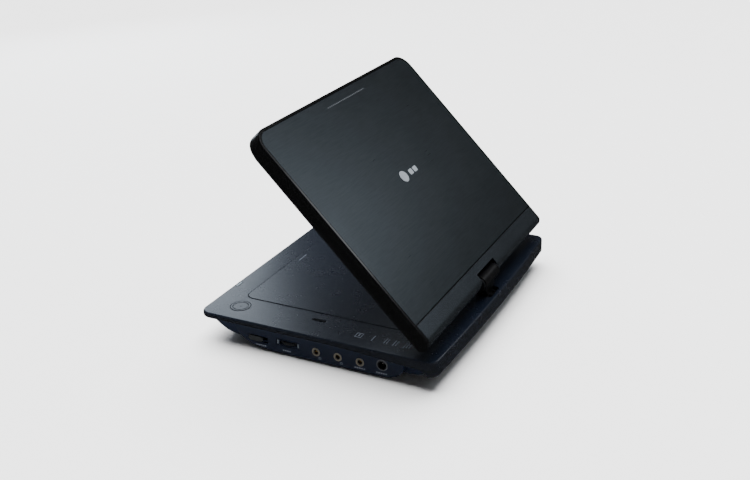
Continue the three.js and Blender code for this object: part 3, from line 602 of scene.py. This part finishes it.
def knuckle():
    """The dark barrel on its neck, and a cap at each end of it."""
    r, half, soft = 5.8, 13.2, 0.5
    turns = [math.pi / 2 * i / 5 for i in range(6)]
    profile = [(BORE_R, -half)]
    profile += [(r - soft + soft * math.sin(a), -half + soft * (1 - math.cos(a))) for a in turns]
    profile += [(r - soft + soft * math.cos(a), half - soft * (1 - math.sin(a))) for a in turns]
    profile += [(BORE_R, half)]
    barrel = tube(profile, (0, PIVOT_Y, PIVOT_Z), "X", 64)

    neck_levels = (
        (22.9, 6.7), (23.9, 6.9), (25.2, 7.5), (26.6, 8.4),
        (28.0, 9.4), (29.4, 10.1), (30.6, 10.35), (33.0, 10.35),
    )
    front, rear = SWIVEL_Y - 4.35, SWIVEL_Y + 4.35
    neck = stack([[(x, y, z) for x, y in rounded(-wide, wide, front, rear, 1.6)] for z, wide in neck_levels])
    make("knuckle", *merge(barrel, neck), MATTE, "swivel", replaces=("hinge_knuckle",), slot="matte_black")
    for i, side in enumerate((-1, 1)):
        x0, x1 = sorted((side * 13.6, side * 15.7))
        profile = [(BORE_R, x0), (4.9, x0), (5.4, x0 + 0.4), (5.4, x1 - 0.4), (4.9, x1), (BORE_R, x1)]
        make(
            f"knuckle_cap_{i + 1}",
            *tube(profile, (0, PIVOT_Y, PIVOT_Z), "X", 48),
            DARK_STEEL,
            "swivel",
            replaces=(f"friction_cap_{i + 1}",),
            slot="dark_steel",
        )


knuckle()


# ------------------------------------------------------------------ controls on the deck

def open_control():
    """The trim ring in the deck, and the button in it with a small raised dot."""
    centre = (OPEN_X, OPEN_Y, DECK_Z)
    ring = [
        (5.95, -0.7), (7.35, -0.7), (7.6, -0.5), (7.6, -0.05), (7.52, 0.08),
        (7.3, 0.14), (6.3, 0.14), (6.05, 0.06), (5.95, -0.1),
    ]
    trim = tube(ring, centre, "Z", 64)
    make("open_trim", *trim, TRIM, "base", angle=12, replaces=("open_ring",), slot="satin_band")
    dish = [
        (0.01, -2.8), (5.4, -2.8), (5.7, -2.5), (5.7, -0.08), (5.6, 0.06), (5.4, 0.12),
        (4.4, 0.12), (1.6, 0.10), (1.0, 0.10), (0.8, 0.2), (0.01, 0.22),
    ]
    stem = [(0.01, -4.2), (2.0, -4.2), (2.0, -2.7), (0.01, -2.7)]
    button = merge(turned(dish, centre, "Z", 64), turned(stem, centre, "Z", 24))
    make("open_key", *button, DECK, "open_button", angle=12, replaces=("open_button",), slot="deck_plastic")


def on_lid(p):
    """A point on the outer face of the screen half, as (x, v, height over the panel)."""
    x, v, w = p
    return opened((x, v, SHELL_W + w))


def on_boss(p):
    """A point on the port side, as (y, z, height over the boss)."""
    y, z, h = p
    return (BOSS_X + h, y, z)


def plaques(name, outlines, mat, body, pose, low, high, slot=None):
    """Thin printed or inlaid marks with the given outlines, joined as one piece."""
    parts = [stack([[(a, b, h) for a, b in outline] for h in (low, high)]) for outline in outlines]
    make(name, *merge(*parts), mat, body, pose, slot=slot)


def ticks(a0, a1, b, size, gap, height):
    """Outlines of a row of small dashes along the first axis."""
    out = []
    a = a0
    while a + size <= a1:
        out.append(rounded(a, a + size, b - height / 2, b + height / 2, min(size, height) * 0.3, 3))
        a += size + gap
    return out


def box_ring(a, b, half_a, half_b, line):
    """Outlines of four strokes that frame a small rectangle."""
    return [
        rounded(a - half_a, a + half_a, b - half_b, b - half_b + line, line * 0.4, 2),
        rounded(a - half_a, a + half_a, b + half_b - line, b + half_b, line * 0.4, 2),
        rounded(a - half_a, a - half_a + line, b - half_b + line, b + half_b - line, line * 0.3, 2),
        rounded(a + half_a - line, a + half_a, b - half_b + line, b + half_b - line, line * 0.3, 2),
    ]


def lid_marks():
    disc = [
        (0.01, 0.0), (4.5, 0.0), (4.75, 0.15), (4.8, 0.35), (4.65, 0.52), (4.3, 0.58), (2.0, 0.5), (0.01, 0.46),
    ]
    verts, faces = turned([(r, h - 0.04) for r, h in disc], EMBLEM, "Z", 56)
    make("lid_disc_mark", verts, faces, SILVER, "screen", on_lid, 30, replaces=("emblem",), slot="steel")
    bars = [rounded(x - 2.7, x + 2.7, 94.9, 99.4, 1.1, 5) for x in (-6.2, -13.2)]
    plaques("lid_bars", bars, SILVER, "screen", on_lid, PRINT_LOW, 0.12)
    line = ticks(-31.5, 25, 170.8, 1.5, 1.0, 0.9)
    plaques("lid_small_line", line, PRINT_LID, "screen", on_lid, PRINT_LOW, 0.02)


def base_marks():
    strokes = box_ring(99.4, 29.8, 3.0, 2.6, 0.55) + ticks(97.9, 101.2, 29.8, 1.0, 0.5, 1.4)
    for y, bars in ((41.0, 1), (51.5, 2), (58.5, 2), (67.5, 3)):
        for k in range(bars):
            mid = y + (k - (bars - 1) / 2) * 1.9
            strokes.append(rounded(95.6 + k * 0.5, 103.2 - k * 0.4, mid - 0.45, mid + 0.45, 0.4, 3))
    plaques("deck_small_marks", strokes, PRINT_DIM, "base", straight, DECK_Z + PRINT_LOW, DECK_Z + PRINT_HIGH)
    legend = []
    for y, half in ((-46.0, 4.6), (-23.5, 4.2), (35.5, 4.6), (52.5, 4.6)):
        legend += ticks(y - half, y + half, LEGEND_Z, 1.3, 0.5, 1.1)
    for y in (3.2, 20.6):
        legend += box_ring(y, LEGEND_Z + 0.3, 1.0, 0.8, 0.35)
    plaques("port_small_marks", legend, PRINT, "base", on_boss, PRINT_LOW, PRINT_HIGH)
    faint = ticks(-3, 9, -72.6, 1.0, 0.55, 0.8)
    plaques("disc_lid_small_mark", faint, PRINT_DIM, "disc_lid", straight, 24.25, 24.32)


def ports():
    """Metal rings and contacts of the three jacks, and the ring and pin of the power inlet."""
    ring = [
        (1.72, 0.0), (1.85, 0.42), (2.2, 0.55), (2.95, 0.55),
        (3.2, 0.4), (3.25, 0.05), (3.0, -0.3), (1.72, -0.3),
    ]
    contact = [(1.2, -3.4), (1.95, -2.4), (1.95, -3.8), (1.2, -3.8)]
    for i, y in enumerate(JACK_YS):
        mouth = (BOSS_X, y, JACK_Z)
        make(f"jack_collar_{i + 1}", *tube(ring, mouth, "X", 48), COLLAR, "base", slot="steel")
        make(f"jack_contact_{i + 1}", *tube(contact, mouth, "X", 32), BRASS, "base", slot="steel")
    wide = [(2.85, -0.3), (3.0, 0.3), (3.4, 0.5), (4.0, 0.45), (4.3, 0.25), (4.35, -0.05), (3.6, -0.3)]
    make("inlet_collar", *tube(wide, (BOSS_X, DC_Y, DC_Z), "X", 48), GREY, "base", slot="grey_plastic")
    pin = [(0.01, -12.0), (0.86, -12.0), (0.86, -1.3), (0.6, -0.9), (0.01, -0.8)]
    make("inlet_pin", *turned(pin, (BOSS_X, DC_Y, DC_Z), "X", 32), STEEL, "base", slot="steel")


def wheel_bezel():
    """Frame round the wheel's slot, with a small pale mark painted at each end as a highlight."""
    def ring(half, high, corner, x):
        return [(x, y, z) for y, z in around(WHEEL_Y, WHEEL_Z, half, high, corner, n=6)]

    slot_in, frame_out = (7.2, 1.6, 0.6), (9.3, 2.4, 1.0)
    back_x, shoulder_x, front_x, mouth_x = 109.6, 110.2, 110.4, 110.1
    loops = [
        ring(*slot_in, back_x),
        ring(*frame_out, back_x),
        ring(*frame_out, shoulder_x),
        ring(9.1, 2.2, 0.9, front_x),
        ring(7.5, 1.85, 0.8, front_x),
        ring(*slot_in, mouth_x),
        ring(*slot_in, back_x),
    ]
    make("wheel_bezel", *stack(loops, False, False), NAVY, "base", replaces=("wheel_frame",), slot="steel")
    # pale marks painted on the frame's two ends as highlights, where the curved ends catch the light
    end_highlights = [around(WHEEL_Y + side * 8.5, WHEEL_Z, 0.5, 1.6, 0.45, n=5) for side in (-1, 1)]
    plaques("wheel_cheeks", end_highlights, PALE, "base", on_boss, -0.15, 0.1, "white_plastic")


open_control()
lid_marks()
base_marks()
ports()
wheel_bezel()

for node in NODES.values():
    if not node.hide_render:
        node.data.materials.clear()
        node.data.materials.append(OWN_LOOKS.get(node.name, SLOT_LOOKS[SLOT_OF[node.name]]))


# ------------------------------------------------------------------ CAD pieces shown as they are

def soften_cad(node, width):
    """Joins flat facets, rounds the edges a little and shades the curves smooth."""
    weld = node.modifiers.new("weld", "WELD")
    weld.merge_threshold = 0.00001
    flat = node.modifiers.new("join_flats", "DECIMATE")
    flat.decimate_type = "DISSOLVE"
    flat.angle_limit = math.radians(1.0)
    if width:
        add_bevel(node, width, 2, 38.0)
    for poly in node.data.polygons:
        poly.use_smooth = True
    even_shading(node)


SOFT = {
    "disc_lid": 0.15,
    "base_bottom_case": 0.25,
    "screen_bezel": 0.3,
    "power_switch": 0.15,
    "screen_glass": 0.2,
    "nav_pad": 0.3,
}
for name, node in NODES.items():
    if not node.hide_render:
        soften_cad(node, SOFT.get(name, 0.12))


# ------------------------------------------------------------------ studio

def studio():
    bpy.ops.mesh.primitive_plane_add(size=14.0, location=(0, 0, -0.0002))
    floor = bpy.context.object
    floor.name = "studio_floor"
    mat = node_material("floor_paper", (0.93, 0.93, 0.93), 0.9, tint=0.01, bump=0.0)
    floor.data.materials.append(mat)
    floor.visible_glossy = False
    world = bpy.data.worlds.new("studio_world")
    bpy.context.scene.world = world
    world.use_nodes = True
    world.node_tree.nodes["Background"].inputs["Color"].default_value = (0.95, 0.97, 1.0, 1)
    world.node_tree.nodes["Background"].inputs["Strength"].default_value = 0.06

    def lit(name, data, place, aim, glossy=True):
        light = bpy.data.objects.new(name, data)
        light.location = place
        light.rotation_euler = (Vector(aim) - Vector(place)).to_track_quat("-Z", "Y").to_euler()
        light.visible_glossy = glossy
        bpy.context.scene.collection.objects.link(light)

    sun = bpy.data.lights.new("even_top", "SUN")
    sun.energy = 12
    sun.angle = math.radians(70)
    lit("even_top", sun, (-0.45, -0.35, 1.6), (0, 0, 0), False)

    def softbox(name, place, aim, size, power, colour=(1, 1, 1)):
        data = bpy.data.lights.new(name, "AREA")
        data.shape = "RECTANGLE"
        data.size, data.size_y = size
        data.energy = power
        data.color = colour
        lit(name, data, place, aim)

    cool, paler = (0.80, 0.90, 1.0), (0.92, 0.96, 1.0)
    softbox("left_front_soft", (-0.62, -0.86, 0.44), (0.09, -0.07, 0.02), (0.55, 0.55), 2.6, cool)
    softbox("left_rear_soft", (-0.78, 0.71, 0.91), (0, 0, 0.1), (0.6, 0.6), 2.5, paler)
    softbox("rear_right_low", (0.55, 1.45, 0.35), (0.05, 0.05, 0.02), (0.3, 0.3), 0.8)


studio()

camera = bpy.data.objects.new("camera", bpy.data.cameras.new("camera"))
bpy.context.scene.collection.objects.link(camera)
right = Vector((-0.44893, 0.89299, -0.03208))
up = Vector((-0.37653, -0.15649, 0.91309))
back = Vector((0.81036, 0.42200, 0.40649))
camera.matrix_world = Matrix((
    (right.x, up.x, back.x, 0.65656),
    (right.y, up.y, back.y, 0.33509),
    (right.z, up.z, back.z, 0.37936),
    (0, 0, 0, 1),
))
SENSOR_WIDTH = 36.0
FOCAL_OVER_WIDTH = 1031.05 / 750
camera.data.sensor_width = SENSOR_WIDTH
camera.data.lens = FOCAL_OVER_WIDTH * SENSOR_WIDTH
bpy.context.scene.camera = camera
